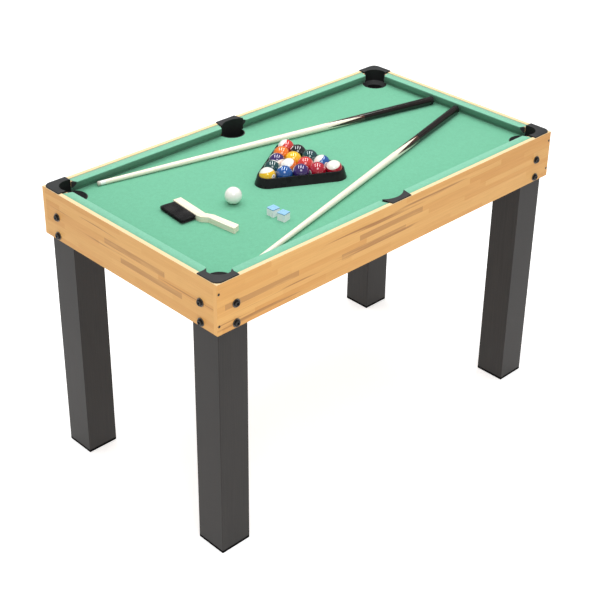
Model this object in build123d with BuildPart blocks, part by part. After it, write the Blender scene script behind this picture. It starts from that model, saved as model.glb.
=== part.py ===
"""A small six-pocket pool table with its balls, rack, cues, chalks and brush.

X runs along the table, Y across it and Z up. The origin is on the floor under the table's centre.
The front is the long side at -Y, and the left end is the one at -X. Every dimension is in millimetres.
"""
import os
from math import asin, cos, hypot, radians, sin, sqrt

from build123d import *

os.makedirs("parts", exist_ok=True)

# Table
TABLE_LENGTH = 1220
TABLE_WIDTH = 670
TABLE_HEIGHT = 790
APRON_HEIGHT = 134
APRON_THICK = 12
BED_DROP = 30            # from the aprons' top edge down to the cloth's surface
BED_THICK = 12
BED_CLOTH_THICK = 1
BED_GAP = 1              # between the bed's edge and the aprons
APRON_CHAMFER = 0.8

# Rails and cushions, measured inwards from the apron and up from the cloth
RAIL_TOP = 28.5
RAIL_CORE_WIDTH = 15
RAIL_WIDTH = 27
RAIL_CLOTH_THICK = 0.8
CUSHION_NOSE_LOW = 23.5
CUSHION_ROOT_LOW = 10.5
CUSHION_FOOT = 19        # how far in the cushion's underside meets its own root
NOSE_RADIUS = 3
FIT_GAP = 0.3            # between neighbouring fitted pieces
HORN_WIDTH = 18          # how far the square part of a rail's end reaches
MITRE = 12               # how much shorter the nose is than the rail's back, at each end

# Pockets, measured from the aprons' inner faces
CORNER_CENTRE = 42.5
CORNER_CAP = 57
SIDE_CENTRE = 18
SIDE_CAP_BACK = 34
SIDE_CAP_FRONT = 40
SIDE_CAP_DEPTH = 20
SIDE_ARC_BACK = 5.5
SIDE_ARC_HALF = 38
POCKET_RADIUS = 33.5
POCKET_WALL = 2
CUP_RADIUS = 24.5
CUP_DEPTH = 71
FUNNEL_DEPTH = 12
CAP_THICK = 3
CAP_LIFT = 0.2           # of the cap's overlap above the aprons' top edges
CAP_EDGE_INSET = 1       # in from the aprons' outer faces
CAP_EDGE_RADIUS = 1
CAP_CORNER_RADIUS = 20
HOLE_RADIUS = POCKET_RADIUS + POCKET_WALL + 0.5

# Legs and their fasteners
LEG_SIZE = 90
LEG_WALL = 12
LEG_EDGE_RADIUS = 1.5
FOOT_HEIGHT = 8
FOOT_PLUG_HEIGHT = 12
FOOT_PLUG_WALL = 3
FOOT_CHAMFER = 1
BOLT_DROPS = (68.5, 121)
BOLT_RADIUS = 4
BOLT_HOLE_GAP = 0.4
BOLT_TO_NUT_GAP = 0.05
BOLT_HEAD_RADIUS = 8
BOLT_HEAD_HEIGHT = 5
BOLT_HEAD_BEVEL = 1.2
BOLT_SOCKET_RADIUS = 3.6
BOLT_SOCKET_DEPTH = 3.5
WASHER_RADIUS = 11
WASHER_THICK = 1.6
TEE_NUT_RADIUS = 9.5
TEE_NUT_FLANGE = 2
TEE_NUT_BARREL_RADIUS = 5
TEE_NUT_BARREL = 9
TEE_NUT_GAP = 0.1
SCREW_DROPS = (26, 110)
SCREW_RADIUS = 1.75
SCREW_HEAD_RADIUS = 3.5
SCREW_LENGTH = 40
SCREW_GAP = 0.1
SCREW_SLOT_LENGTH = 4
SCREW_SLOT_WIDTH = 1
SCREW_SLOT_DEPTH = 1
CLEAT_SIZE = 20
BATTEN_WIDTH = 40
BATTEN_HEIGHT = 18
BATTEN_PLACE = 250
BATTEN_CHAMFER = 2

# Balls and rack
BALL_DIAMETER = 44.45
BALL_SPACING = BALL_DIAMETER + 0.3
RACK_CENTRE = (-40, 6)
RACK_POINTS_TO = 61      # degrees from +X
RACK_GAP = 0.6
RACK_FOOT_WALL = 11
RACK_TOP_WALL = 3.5
RACK_HEIGHT = 25
RACK_EDGE_RADIUS = 0.9
RACK_ROWS = ((11,), (5, 8), (12, 1, 6), (14, 13, 3, 10), (9, 2, 4, 7, 15))
CUE_BALL_PLACE = (-282.5, -20.5)

# Cues: name, middle of the butt's end, and the cue's direction from butt to tip in degrees from +X
CUE_LENGTH = 1067
CUE_BUTT_RADIUS = 12
CUE_TIP_RADIUS = 6.2
CUE_BUTT_LENGTH = 245
CUE_TIP_LENGTH = 8
CUE_END_BEVEL = 2
CUE_CROWN = 3            # the rounded last part of the leather tip
CUES = (("cue_far", (567, 60.5), 167.65), ("cue_near", (567, -30), 194.04))

# Chalk and brush
CHALK_SIZE = 23
CHALK_HEIGHT = 21
CHALK_HOLLOW_RADIUS = 22
CHALK_HOLLOW_DEPTH = 1.6
CHALKS = (("chalk_1", (-251.5, -134), 0), ("chalk_2", (-249.5, -169), 10))
BRUSH_PLACE = (-404, 23.5)
BRUSH_TURN = -5.6
BRUSH_THICK = 15
BRUSH_HEAD_LENGTH = 104
BRUSH_HEAD_WIDTH = 24
BRISTLE_LENGTH = 42
BRISTLE_THICK = 13
BRISTLE_INSET = 2
BRUSH_EDGE_RADIUS = 1.5
HANDLE_EDGE_RADIUS = 3

# Heights and half sizes that follow
BED_TOP = TABLE_HEIGHT - BED_DROP
BOARD_TOP = BED_TOP - BED_CLOTH_THICK
BOARD_BOTTOM = BOARD_TOP - BED_THICK
APRON_MIDDLE = TABLE_HEIGHT - APRON_HEIGHT / 2
HALF_LENGTH = TABLE_LENGTH / 2
HALF_WIDTH = TABLE_WIDTH / 2
INNER_X = HALF_LENGTH - APRON_THICK
INNER_Y = HALF_WIDTH - APRON_THICK
LEG_X = INNER_X - LEG_SIZE / 2
LEG_Y = INNER_Y - LEG_SIZE / 2
BOLT_FROM_END = APRON_THICK + LEG_SIZE / 2
BALL_RADIUS = BALL_DIAMETER / 2

# Each side: its half length, how far out its face is, its run and the way it faces
SIDES = {
    "front": (HALF_LENGTH, HALF_WIDTH, Vector(1, 0, 0), Vector(0, -1, 0)),
    "back": (HALF_LENGTH, HALF_WIDTH, Vector(-1, 0, 0), Vector(0, 1, 0)),
    "left": (HALF_WIDTH, HALF_LENGTH, Vector(0, -1, 0), Vector(-1, 0, 0)),
    "right": (HALF_WIDTH, HALF_LENGTH, Vector(0, 1, 0), Vector(1, 0, 0)),
}
CORNERS = {
    "front_left": (-1, -1, Vector(1, 0, 0)),
    "front_right": (1, -1, Vector(0, 1, 0)),
    "back_right": (1, 1, Vector(-1, 0, 0)),
    "back_left": (-1, 1, Vector(0, -1, 0)),
}


def save(piece, node):
    """Label a finished piece and write it as its own STEP file."""
    piece.part.label = node
    export_step(piece.part, f"parts/{node}.step")


def face_plane(side):
    """The plane of an apron's outer face: its middle, with x along the side and z outwards."""
    _, out, run, outward = SIDES[side]
    return Plane(origin=outward * out + Vector(0, 0, APRON_MIDDLE), x_dir=run, z_dir=outward)


def bed_plane(side):
    """The plane on the cloth with its origin against a side's apron, x along the side and y inwards."""
    _, out, run, outward = SIDES[side]
    return Plane(origin=outward * (out - APRON_THICK) + Vector(0, 0, BED_TOP), x_dir=run, z_dir=(0, 0, 1))


def corner_plane(corner):
    """The plane on the cloth with its origin in a corner of the aprons and both axes pointing inwards."""
    x_sign, y_sign, run = CORNERS[corner]
    return Plane(origin=(x_sign * INNER_X, y_sign * INNER_Y, BED_TOP), x_dir=run, z_dir=(0, 0, 1))


def bolt_places(side):
    """The bolt centres of one side, on its face plane."""
    reach = SIDES[side][0] - BOLT_FROM_END
    return [(x, APRON_HEIGHT / 2 - drop) for x in (-reach, reach) for drop in BOLT_DROPS]


def screw_places(side):
    """The corner screw centres of one long side, on its face plane."""
    reach = SIDES[side][0] - APRON_THICK / 2
    return [(x, APRON_HEIGHT / 2 - drop) for x in (-reach, reach) for drop in SCREW_DROPS]


# Aprons -------------------------------------------------------------------------------------------

def make_apron(side):
    """One apron board, drilled for the leg bolts and, at the corners, for the screws."""
    half = SIDES[side][0]
    is_long = side in ("front", "back")
    board_length = 2 * half if is_long else 2 * (half - APRON_THICK)
    plane = face_plane(side)
    with BuildPart() as apron:
        with BuildSketch(plane):
            Rectangle(board_length, APRON_HEIGHT)
        extrude(amount=-APRON_THICK)
        chamfer(apron.edges().group_by(Axis.Z)[-1], length=APRON_CHAMFER)
        with BuildSketch(plane):
            with Locations(*bolt_places(side)):
                Circle(BOLT_RADIUS + BOLT_HOLE_GAP)
        extrude(amount=-APRON_THICK, mode=Mode.SUBTRACT)
        if is_long:
            with Locations(*[plane * Location((x, y, 0)) for x, y in screw_places(side)]):
                CounterSinkHole(SCREW_RADIUS + SCREW_GAP, SCREW_HEAD_RADIUS + 1.5 * SCREW_GAP)
        else:
            for long_side in ("front", "back"):
                with BuildSketch(face_plane(long_side)):
                    with Locations(*screw_places(long_side)):
                        Circle(SCREW_RADIUS + SCREW_GAP)
                extrude(amount=-SCREW_LENGTH - 1, mode=Mode.SUBTRACT)
    return apron


for side in SIDES:
    save(make_apron(side), f"apron_{side}")

# Bed ----------------------------------------------------------------------------------------------

corner_x = INNER_X - CORNER_CENTRE
corner_y = INNER_Y - CORNER_CENTRE
corner_centres = [(x_sign * corner_x, y_sign * corner_y) for x_sign, y_sign, _ in CORNERS.values()]
side_centres = [(0, sy * (INNER_Y - SIDE_CENTRE)) for sy in (-1, 1)]


def make_bed_layer(bottom, thick):
    """A sheet that fills the aprons at one height, with its six pocket holes."""
    with BuildPart() as layer:
        with BuildSketch(Plane.XY.offset(bottom)):
            Rectangle(2 * (INNER_X - BED_GAP), 2 * (INNER_Y - BED_GAP))
            with Locations(*corner_centres, *side_centres):
                Circle(HOLE_RADIUS, mode=Mode.SUBTRACT)
        extrude(amount=thick)
    return layer


save(make_bed_layer(BOARD_BOTTOM, BED_THICK), "bed_board")
save(make_bed_layer(BOARD_TOP, BED_CLOTH_THICK), "bed_cloth")

leg_inner_x = INNER_X - LEG_SIZE - BED_GAP
leg_inner_y = INNER_Y - LEG_SIZE - BED_GAP
side_cup_clear = SIDE_CAP_BACK + 5
cleat_run = leg_inner_x - side_cup_clear
cleat_x = (leg_inner_x + side_cup_clear) / 2
cleat_y = INNER_Y - CLEAT_SIZE / 2

with BuildPart() as bed_cleats:
    with BuildSketch(Plane.XY.offset(BOARD_BOTTOM)):
        with Locations((-cleat_x, -cleat_y), (cleat_x, -cleat_y), (-cleat_x, cleat_y), (cleat_x, cleat_y)):
            Rectangle(cleat_run, CLEAT_SIZE)
        with Locations(*[(sx * (INNER_X - CLEAT_SIZE / 2), 0) for sx in (-1, 1)]):
            Rectangle(CLEAT_SIZE, 2 * leg_inner_y)
    extrude(amount=-CLEAT_SIZE)
save(bed_cleats, "bed_cleats")

with BuildPart() as cross_battens:
    with BuildSketch(Plane.XY.offset(BOARD_BOTTOM)):
        with Locations((-BATTEN_PLACE, 0), (BATTEN_PLACE, 0)):
            Rectangle(BATTEN_WIDTH, 2 * (INNER_Y - CLEAT_SIZE - BED_GAP))
    extrude(amount=-BATTEN_HEIGHT)
    chamfer(cross_battens.edges().group_by(Axis.Z)[0], length=BATTEN_CHAMFER)
save(cross_battens, "cross_battens")

# Rails --------------------------------------------------------------------------------------------

corner_end = CORNER_CAP
side_end = SIDE_CAP_BACK
core_top = RAIL_TOP - RAIL_CLOTH_THICK


def corner_cut(u, way):
    """The plan points of a rail's end at a corner pocket; way is +1 where the rail runs on towards +x."""
    return [(u, FIT_GAP), (u, HORN_WIDTH), (u + way * MITRE, RAIL_WIDTH)]


def side_cut(u, way):
    """The plan points of a rail's end at a side pocket."""
    slant = SIDE_CAP_FRONT - SIDE_CAP_BACK
    return [(u, FIT_GAP), (u + way * slant, SIDE_CAP_DEPTH), (u + way * MITRE, RAIL_WIDTH)]


def rail_outlines():
    """For each rail: the side that it is on and its outline on that side's bed plane."""
    long_end = INNER_X - corner_end
    short_end = INNER_Y - corner_end
    outlines = {}
    for side, low_name, high_name in (("front", "left", "right"), ("back", "right", "left")):
        low = corner_cut(-long_end, 1) + side_cut(-side_end, -1)[::-1]
        high = side_cut(side_end, 1) + corner_cut(long_end, -1)[::-1]
        outlines[f"{side}_{low_name}"] = (side, low)
        outlines[f"{side}_{high_name}"] = (side, high)
    for side in ("left", "right"):
        ends = corner_cut(-short_end, 1) + corner_cut(short_end, -1)[::-1]
        outlines[f"{side}_end"] = (side, ends)
    return outlines


def section_plane(side):
    """The plane across a rail, at the side's low end, with x inwards and y up."""
    bed = bed_plane(side)
    return Plane(origin=bed.origin - bed.x_dir * SIDES[side][0], x_dir=bed.y_dir, z_dir=bed.x_dir)


def core_section(grow=0.0):
    """The section of a rail's wooden core, from its back face to the cushion."""
    with BuildSketch() as section:
        with Locations((FIT_GAP, 0)):
            Rectangle(RAIL_CORE_WIDTH - FIT_GAP + grow, core_top + grow, align=(Align.MIN, Align.MIN))
    return section.sketch


def cushion_section(grow=0.0):
    """The section of a cushion: flat on top, a rounded nose and an underside that slopes back."""
    tip = RAIL_WIDTH - RAIL_CLOTH_THICK + grow
    slope = hypot(CUSHION_NOSE_LOW - CUSHION_ROOT_LOW, tip - CUSHION_FOOT) / (tip - CUSHION_FOOT)
    drop = grow * slope
    with BuildSketch() as section:
        with BuildLine():
            Polyline((RAIL_CORE_WIDTH, core_top + grow), (tip, core_top + grow), (tip, CUSHION_NOSE_LOW),
                     (CUSHION_FOOT, CUSHION_ROOT_LOW - drop), (RAIL_CORE_WIDTH, CUSHION_ROOT_LOW - drop),
                     close=True)
        make_face()
        fillet(section.vertices().group_by(Axis.X)[-1], radius=NOSE_RADIUS / 2 + grow)
    return section.sketch


def make_rail_piece(side, outline, section):
    """A section run along a side and cut to the rail's outline in plan."""
    with BuildPart() as piece:
        with BuildSketch(section_plane(side)):
            add(section)
        extrude(amount=2 * SIDES[side][0])
        with BuildSketch(bed_plane(side)):
            with BuildLine():
                Polyline(*outline, close=True)
            make_face()
        extrude(amount=RAIL_TOP, mode=Mode.INTERSECT)
    return piece


bare_section = core_section() + cushion_section()
wrap_section = core_section(RAIL_CLOTH_THICK) + cushion_section(RAIL_CLOTH_THICK) - bare_section

for rail_name, (side, outline) in rail_outlines().items():
    save(make_rail_piece(side, outline, core_section()), f"rail_{rail_name}")

with BuildPart() as rail_cushions:
    for side, outline in rail_outlines().values():
        add(make_rail_piece(side, outline, cushion_section()).part)
save(rail_cushions, "rail_cushions")

with BuildPart() as rail_cloths:
    for side, outline in rail_outlines().values():
        add(make_rail_piece(side, outline, wrap_section).part)
save(rail_cloths, "rail_cloths")

# Pockets ------------------------------------------------------------------------------------------

outer_radius = POCKET_RADIUS + POCKET_WALL
cup_outer = CUP_RADIUS + POCKET_WALL
cap_bottom = BED_DROP + CAP_LIFT
cap_overlap = APRON_THICK - CAP_EDGE_INSET


def make_corner_pocket(corner):
    """Cap, throat and tapered cup of a corner pocket, moulded in one piece."""
    plane = corner_plane(corner)
    centre = (CORNER_CENTRE, CORNER_CENTRE)
    cap_middle = CORNER_CAP / 2
    cap_size = CORNER_CAP - 2 * FIT_GAP
    plate_size = CORNER_CAP - FIT_GAP + cap_overlap
    plate_middle = plate_size / 2 - cap_overlap
    cup_plane = Plane(origin=plane.from_local_coords((*centre, 0)), x_dir=plane.x_dir, z_dir=-plane.y_dir)
    with BuildPart() as pocket:
        with BuildSketch(cup_plane):
            with BuildLine():
                Polyline((POCKET_RADIUS, 0), (outer_radius, 0), (outer_radius, -BED_CLOTH_THICK),
                         (cup_outer, -FUNNEL_DEPTH), (cup_outer, -CUP_DEPTH), (0, -CUP_DEPTH),
                         (0, -CUP_DEPTH + POCKET_WALL), (CUP_RADIUS, -CUP_DEPTH + POCKET_WALL),
                         (CUP_RADIUS, -FUNNEL_DEPTH), (POCKET_RADIUS, -BED_CLOTH_THICK), close=True)
            make_face()
        revolve(axis=Axis(cup_plane.origin, (0, 0, 1)))
        with BuildSketch(plane):
            with Locations((cap_middle, cap_middle)):
                Rectangle(cap_size, cap_size)
            with Locations(centre):
                Circle(outer_radius, mode=Mode.INTERSECT)
                Circle(POCKET_RADIUS, mode=Mode.SUBTRACT)
        extrude(amount=cap_bottom)
        with BuildSketch(plane.offset(RAIL_TOP - CAP_THICK)):
            with Locations((cap_middle, cap_middle)):
                Rectangle(cap_size, cap_size)
            with Locations(centre):
                Circle(POCKET_RADIUS, mode=Mode.SUBTRACT)
        extrude(amount=cap_bottom + CAP_THICK - RAIL_TOP)
        with BuildSketch(plane.offset(cap_bottom)):
            with Locations((plate_middle, plate_middle)):
                cap = Rectangle(plate_size, plate_size)
            fillet(cap.vertices().sort_by(Axis((0, 0, 0), (1, 1, 0)))[0], radius=CAP_CORNER_RADIUS)
            with Locations(centre):
                Circle(POCKET_RADIUS, mode=Mode.SUBTRACT)
        extrude(amount=CAP_THICK)
        fillet(pocket.edges().group_by(Axis.Z)[-1], radius=CAP_EDGE_RADIUS)
    return pocket


for corner in CORNERS:
    save(make_corner_pocket(corner), f"pocket_{corner}")

side_sagitta = SIDE_CAP_DEPTH - SIDE_ARC_BACK
side_arc_radius = (SIDE_ARC_HALF**2 + side_sagitta**2) / (2 * side_sagitta)
side_arc_centre = (0, SIDE_ARC_BACK + side_arc_radius)


def side_outline(shrink):
    """The D-shaped plan of a side pocket: the bed's round hole cut off by the throat's back wall."""
    with BuildSketch() as outline:
        with Locations((0, SIDE_CENTRE)):
            Circle(outer_radius - shrink)
        with Locations(side_arc_centre):
            Circle(side_arc_radius + POCKET_WALL - shrink, mode=Mode.INTERSECT)
    return outline.sketch


def side_cap_outline(start):
    """The plan of a side cap: narrow where it starts and wider inwards, without its hollow."""
    back = SIDE_CAP_BACK - FIT_GAP
    front = SIDE_CAP_FRONT - FIT_GAP
    with BuildSketch() as outline:
        with BuildLine():
            Polyline((-back, start), (back, start), (front, SIDE_CAP_DEPTH), (-front, SIDE_CAP_DEPTH),
                     close=True)
        make_face()
        with Locations(side_arc_centre):
            Circle(side_arc_radius, mode=Mode.SUBTRACT)
    return outline.sketch


def make_side_pocket(side):
    """Cap, throat and D-shaped cup of a side pocket, moulded in one piece."""
    plane = bed_plane(side)
    with BuildPart() as pocket:
        with BuildSketch(plane.offset(-CUP_DEPTH)):
            add(side_outline(0))
        extrude(amount=CUP_DEPTH)
        with BuildSketch(plane.offset(-CUP_DEPTH + POCKET_WALL)):
            add(side_outline(POCKET_WALL))
        extrude(amount=CUP_DEPTH, mode=Mode.SUBTRACT)
        with BuildSketch(plane):
            add(side_cap_outline(FIT_GAP))
            with Locations(side_arc_centre):
                Circle(side_arc_radius + POCKET_WALL, mode=Mode.INTERSECT)
        extrude(amount=cap_bottom)
        with BuildSketch(plane.offset(RAIL_TOP - CAP_THICK)):
            add(side_cap_outline(FIT_GAP))
        extrude(amount=cap_bottom + CAP_THICK - RAIL_TOP)
        with BuildSketch(plane.offset(cap_bottom)):
            add(side_cap_outline(-cap_overlap))
        extrude(amount=CAP_THICK)
        fillet(pocket.edges().group_by(Axis.Z)[-1], radius=CAP_EDGE_RADIUS)
    return pocket


for side in ("front", "back"):
    save(make_side_pocket(side), f"pocket_{side}_side")

# Legs and fasteners -------------------------------------------------------------------------------

def make_leg(corner):
    """A hollow square leg, drilled on its two outer faces for the tee nuts."""
    x_sign, y_sign, _ = CORNERS[corner]
    with BuildPart() as leg:
        with BuildSketch(Plane.XY.offset(FOOT_HEIGHT)):
            with Locations((x_sign * LEG_X, y_sign * LEG_Y)):
                RectangleRounded(LEG_SIZE, LEG_SIZE, LEG_EDGE_RADIUS)
                Rectangle(LEG_SIZE - 2 * LEG_WALL, LEG_SIZE - 2 * LEG_WALL, mode=Mode.SUBTRACT)
        extrude(amount=BOARD_BOTTOM - FOOT_HEIGHT)
        for side in SIDES:
            with BuildSketch(face_plane(side).offset(-APRON_THICK)):
                with Locations(*bolt_places(side)):
                    Circle(TEE_NUT_BARREL_RADIUS + TEE_NUT_GAP)
            extrude(amount=-LEG_WALL, mode=Mode.SUBTRACT)
    return leg


for corner in CORNERS:
    save(make_leg(corner), f"leg_{corner}")

leg_places = [(sx * LEG_X, sy * LEG_Y) for sx, sy, _ in CORNERS.values()]
plug_size = LEG_SIZE - 2 * LEG_WALL - 2 * FIT_GAP

with BuildPart() as foot_caps:
    with BuildSketch():
        with Locations(*leg_places):
            RectangleRounded(LEG_SIZE, LEG_SIZE, LEG_EDGE_RADIUS)
    extrude(amount=FOOT_HEIGHT)
    with BuildSketch(Plane.XY.offset(FOOT_HEIGHT)):
        with Locations(*leg_places):
            Rectangle(plug_size, plug_size)
            Rectangle(plug_size - 2 * FOOT_PLUG_WALL, plug_size - 2 * FOOT_PLUG_WALL, mode=Mode.SUBTRACT)
    extrude(amount=FOOT_PLUG_HEIGHT)
    chamfer(foot_caps.edges().group_by(Axis.Z)[0], length=FOOT_CHAMFER)
save(foot_caps, "foot_caps")

bolt_reach = APRON_THICK + LEG_WALL + TEE_NUT_FLANGE - 0.5

with BuildPart() as leg_washers:
    for side in SIDES:
        with BuildSketch(face_plane(side)):
            with Locations(*bolt_places(side)):
                Circle(WASHER_RADIUS)
                Circle(BOLT_RADIUS + BOLT_HOLE_GAP, mode=Mode.SUBTRACT)
        extrude(amount=WASHER_THICK)
save(leg_washers, "leg_washers")

with BuildPart() as leg_bolts:
    for side in SIDES:
        seat = face_plane(side).offset(WASHER_THICK)
        with BuildSketch(seat):
            with Locations(*bolt_places(side)):
                Circle(BOLT_HEAD_RADIUS)
        extrude(amount=BOLT_HEAD_HEIGHT - BOLT_HEAD_BEVEL)
        with BuildSketch(seat.offset(BOLT_HEAD_HEIGHT - BOLT_HEAD_BEVEL)):
            with Locations(*bolt_places(side)):
                Circle(BOLT_HEAD_RADIUS)
        extrude(amount=BOLT_HEAD_BEVEL, taper=45)
        with BuildSketch(seat):
            with Locations(*bolt_places(side)):
                Circle(BOLT_RADIUS)
        extrude(amount=-bolt_reach - WASHER_THICK)
        with BuildSketch(seat.offset(BOLT_HEAD_HEIGHT)):
            with Locations(*bolt_places(side)):
                RegularPolygon(BOLT_SOCKET_RADIUS, 6)
        extrude(amount=-BOLT_SOCKET_DEPTH, mode=Mode.SUBTRACT)
save(leg_bolts, "leg_bolts")

with BuildPart() as leg_tee_nuts:
    for side in SIDES:
        inner_face = face_plane(side).offset(-APRON_THICK - LEG_WALL)
        with BuildSketch(inner_face):
            with Locations(*bolt_places(side)):
                Circle(TEE_NUT_RADIUS)
        extrude(amount=-TEE_NUT_FLANGE)
        with BuildSketch(inner_face):
            with Locations(*bolt_places(side)):
                Circle(TEE_NUT_BARREL_RADIUS)
        extrude(amount=TEE_NUT_BARREL)
        with BuildSketch(inner_face.offset(TEE_NUT_BARREL)):
            with Locations(*bolt_places(side)):
                Circle(BOLT_RADIUS + BOLT_TO_NUT_GAP)
        extrude(amount=-TEE_NUT_BARREL - TEE_NUT_FLANGE, mode=Mode.SUBTRACT)
save(leg_tee_nuts, "leg_tee_nuts")

with BuildPart() as corner_screws:
    for side in ("front", "back"):
        plane = face_plane(side)
        with BuildSketch(plane):
            with Locations(*screw_places(side)):
                Circle(SCREW_RADIUS)
        extrude(amount=-SCREW_LENGTH)
        head_depth = SCREW_HEAD_RADIUS - SCREW_RADIUS
        with Locations(*[plane * Location((x, y, -head_depth / 2)) for x, y in screw_places(side)]):
            Cone(SCREW_RADIUS, SCREW_HEAD_RADIUS, head_depth)
            with Locations((0, 0, head_depth / 2)):
                Box(SCREW_SLOT_LENGTH, SCREW_SLOT_WIDTH, 2 * SCREW_SLOT_DEPTH, mode=Mode.SUBTRACT)
                Box(SCREW_SLOT_WIDTH, SCREW_SLOT_LENGTH, 2 * SCREW_SLOT_DEPTH, mode=Mode.SUBTRACT)
save(corner_screws, "corner_screws")

# Balls and rack -----------------------------------------------------------------------------------

rack_forward = (cos(radians(RACK_POINTS_TO)), sin(radians(RACK_POINTS_TO)))
rack_right = (rack_forward[1], -rack_forward[0])
row_step = BALL_SPACING * sqrt(3) / 2
last_row = len(RACK_ROWS) - 1


def racked_place(row, seat):
    """The centre of one racked ball, in plan: row 0 is the apex and seat 0 the left-hand ball."""
    ahead = row_step * (last_row * 2 / 3 - row)
    across = BALL_SPACING * (seat - row / 2)
    return (RACK_CENTRE[0] + ahead * rack_forward[0] + across * rack_right[0],
            RACK_CENTRE[1] + ahead * rack_forward[1] + across * rack_right[1])


def make_ball(place):
    """One ball resting on the cloth."""
    with BuildPart() as ball:
        with Locations((*place, BED_TOP + BALL_RADIUS)):
            Sphere(BALL_RADIUS)
    return ball


for row, numbers in enumerate(RACK_ROWS):
    for seat, number in enumerate(numbers):
        save(make_ball(racked_place(row, seat)), f"ball_{number}")
save(make_ball(CUE_BALL_PLACE), "cue_ball")

rack_inner = last_row * row_step / 3 + BALL_RADIUS + RACK_GAP
rack_plane = Plane(origin=(*RACK_CENTRE, BED_TOP), x_dir=(*rack_forward, 0), z_dir=(0, 0, 1))
inner_corner = BALL_RADIUS + RACK_GAP


def rack_outline(apothem, corner_radius):
    """A triangle with rounded corners that points along the rack's own x axis."""
    with BuildSketch() as outline:
        RegularPolygon(apothem, 3, major_radius=False)
        fillet(outline.vertices(), radius=corner_radius)
    return outline.sketch


with BuildPart() as ball_rack:
    with BuildSketch(rack_plane):
        add(rack_outline(rack_inner + RACK_FOOT_WALL, inner_corner + RACK_FOOT_WALL))
    with BuildSketch(rack_plane.offset(RACK_HEIGHT)):
        add(rack_outline(rack_inner + RACK_TOP_WALL, inner_corner + RACK_TOP_WALL))
    loft()
    with BuildSketch(rack_plane):
        add(rack_outline(rack_inner, inner_corner))
    extrude(amount=RACK_HEIGHT, mode=Mode.SUBTRACT)
    fillet(ball_rack.edges().group_by(Axis.Z)[-1], radius=RACK_EDGE_RADIUS)
save(ball_rack, "ball_rack")

# Cues ---------------------------------------------------------------------------------------------

cue_tilt = asin((CUE_BUTT_RADIUS - CUE_TIP_RADIUS) / CUE_LENGTH)


def cue_radius(along):
    """The cue's radius at a distance from the end of its butt."""
    return CUE_BUTT_RADIUS - (CUE_BUTT_RADIUS - CUE_TIP_RADIUS) * along / CUE_LENGTH


def cue_plane(place, heading):
    """The plane that holds a cue's axis: its origin at the butt's end and x towards the tip."""
    turn = radians(heading)
    along = (cos(cue_tilt) * cos(turn), cos(cue_tilt) * sin(turn), -sin(cue_tilt))
    return Plane(origin=(*place, BED_TOP + CUE_BUTT_RADIUS), x_dir=along, z_dir=(sin(turn), -cos(turn), 0))


def make_turned(plane, outline):
    """A piece turned about a cue's axis from half of its section."""
    with BuildPart() as piece:
        with BuildSketch(plane):
            with BuildLine():
                Polyline(*outline, close=True)
            make_face()
        revolve(axis=Axis(plane.origin, plane.x_dir))
    return piece


for cue_name, place, heading in CUES:
    plane = cue_plane(place, heading)
    tip_start = CUE_LENGTH - CUE_TIP_LENGTH
    shaft = make_turned(plane, [(CUE_BUTT_LENGTH, 0), (CUE_BUTT_LENGTH, cue_radius(CUE_BUTT_LENGTH)),
                                (tip_start, cue_radius(tip_start)), (tip_start, 0)])
    save(shaft, f"{cue_name}_shaft")
    butt = make_turned(plane, [(0, 0), (0, CUE_BUTT_RADIUS - CUE_END_BEVEL),
                               (CUE_END_BEVEL, cue_radius(CUE_END_BEVEL)),
                               (CUE_BUTT_LENGTH, cue_radius(CUE_BUTT_LENGTH)), (CUE_BUTT_LENGTH, 0)])
    save(butt, f"{cue_name}_butt")
    tip = make_turned(plane, [(tip_start, 0), (tip_start, cue_radius(tip_start)),
                              (CUE_LENGTH - CUE_CROWN, CUE_TIP_RADIUS),
                              (CUE_LENGTH - CUE_CROWN / 3, CUE_TIP_RADIUS - CUE_END_BEVEL),
                              (CUE_LENGTH, 0)])
    save(tip, f"{cue_name}_tip")

# Chalk and brush ----------------------------------------------------------------------------------

for chalk_name, place, turn in CHALKS:
    with BuildPart() as chalk:
        with BuildSketch(Plane(origin=(*place, BED_TOP)).rotated((0, 0, turn))):
            RectangleRounded(CHALK_SIZE, CHALK_SIZE, 0.8)
        extrude(amount=CHALK_HEIGHT)
        with Locations((*place, BED_TOP + CHALK_HEIGHT - CHALK_HOLLOW_DEPTH + CHALK_HOLLOW_RADIUS)):
            Sphere(CHALK_HOLLOW_RADIUS, mode=Mode.SUBTRACT)
    save(chalk, chalk_name)

brush_plane = Plane(origin=(*BRUSH_PLACE, BED_TOP)).rotated((0, 0, BRUSH_TURN))
head_end = BRUSH_HEAD_LENGTH / 2

with BuildPart() as brush_back:
    with BuildSketch(brush_plane) as brush_outline:
        with BuildLine():
            Polyline((0, head_end), (0, -head_end), (3, -head_end - 14), (17, -head_end - 26),
                     (33, -head_end - 112), (54, -head_end - 102), (36, -head_end - 22),
                     (BRUSH_HEAD_WIDTH, -head_end - 4), (BRUSH_HEAD_WIDTH, head_end), close=True)
        make_face()
        fillet(brush_outline.vertices().filter_by(lambda v: v.Y < BRUSH_PLACE[1]), radius=HANDLE_EDGE_RADIUS)
    extrude(amount=BRUSH_THICK)
    fillet(brush_back.edges().group_by(Axis.Z)[-1], radius=BRUSH_EDGE_RADIUS)
save(brush_back, "brush_back")

with BuildPart() as brush_bristles:
    with BuildSketch(brush_plane.offset((BRUSH_THICK - BRISTLE_THICK) / 2)):
        Rectangle(BRISTLE_LENGTH, BRUSH_HEAD_LENGTH - 2 * BRISTLE_INSET, align=(Align.MAX, Align.CENTER))
    extrude(amount=BRISTLE_THICK)
save(brush_bristles, "brush_bristles")
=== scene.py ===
"""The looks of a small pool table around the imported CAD.

The cloths, the bristles and the ball numbers are made here, and so are the materials, light and camera.

Everything is in metres in the CAD's frame: X along the table, Y across it, Z up, the origin on the floor.
"""

import math
import random

import bmesh
import bpy
from mathutils import Matrix, Vector


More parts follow.
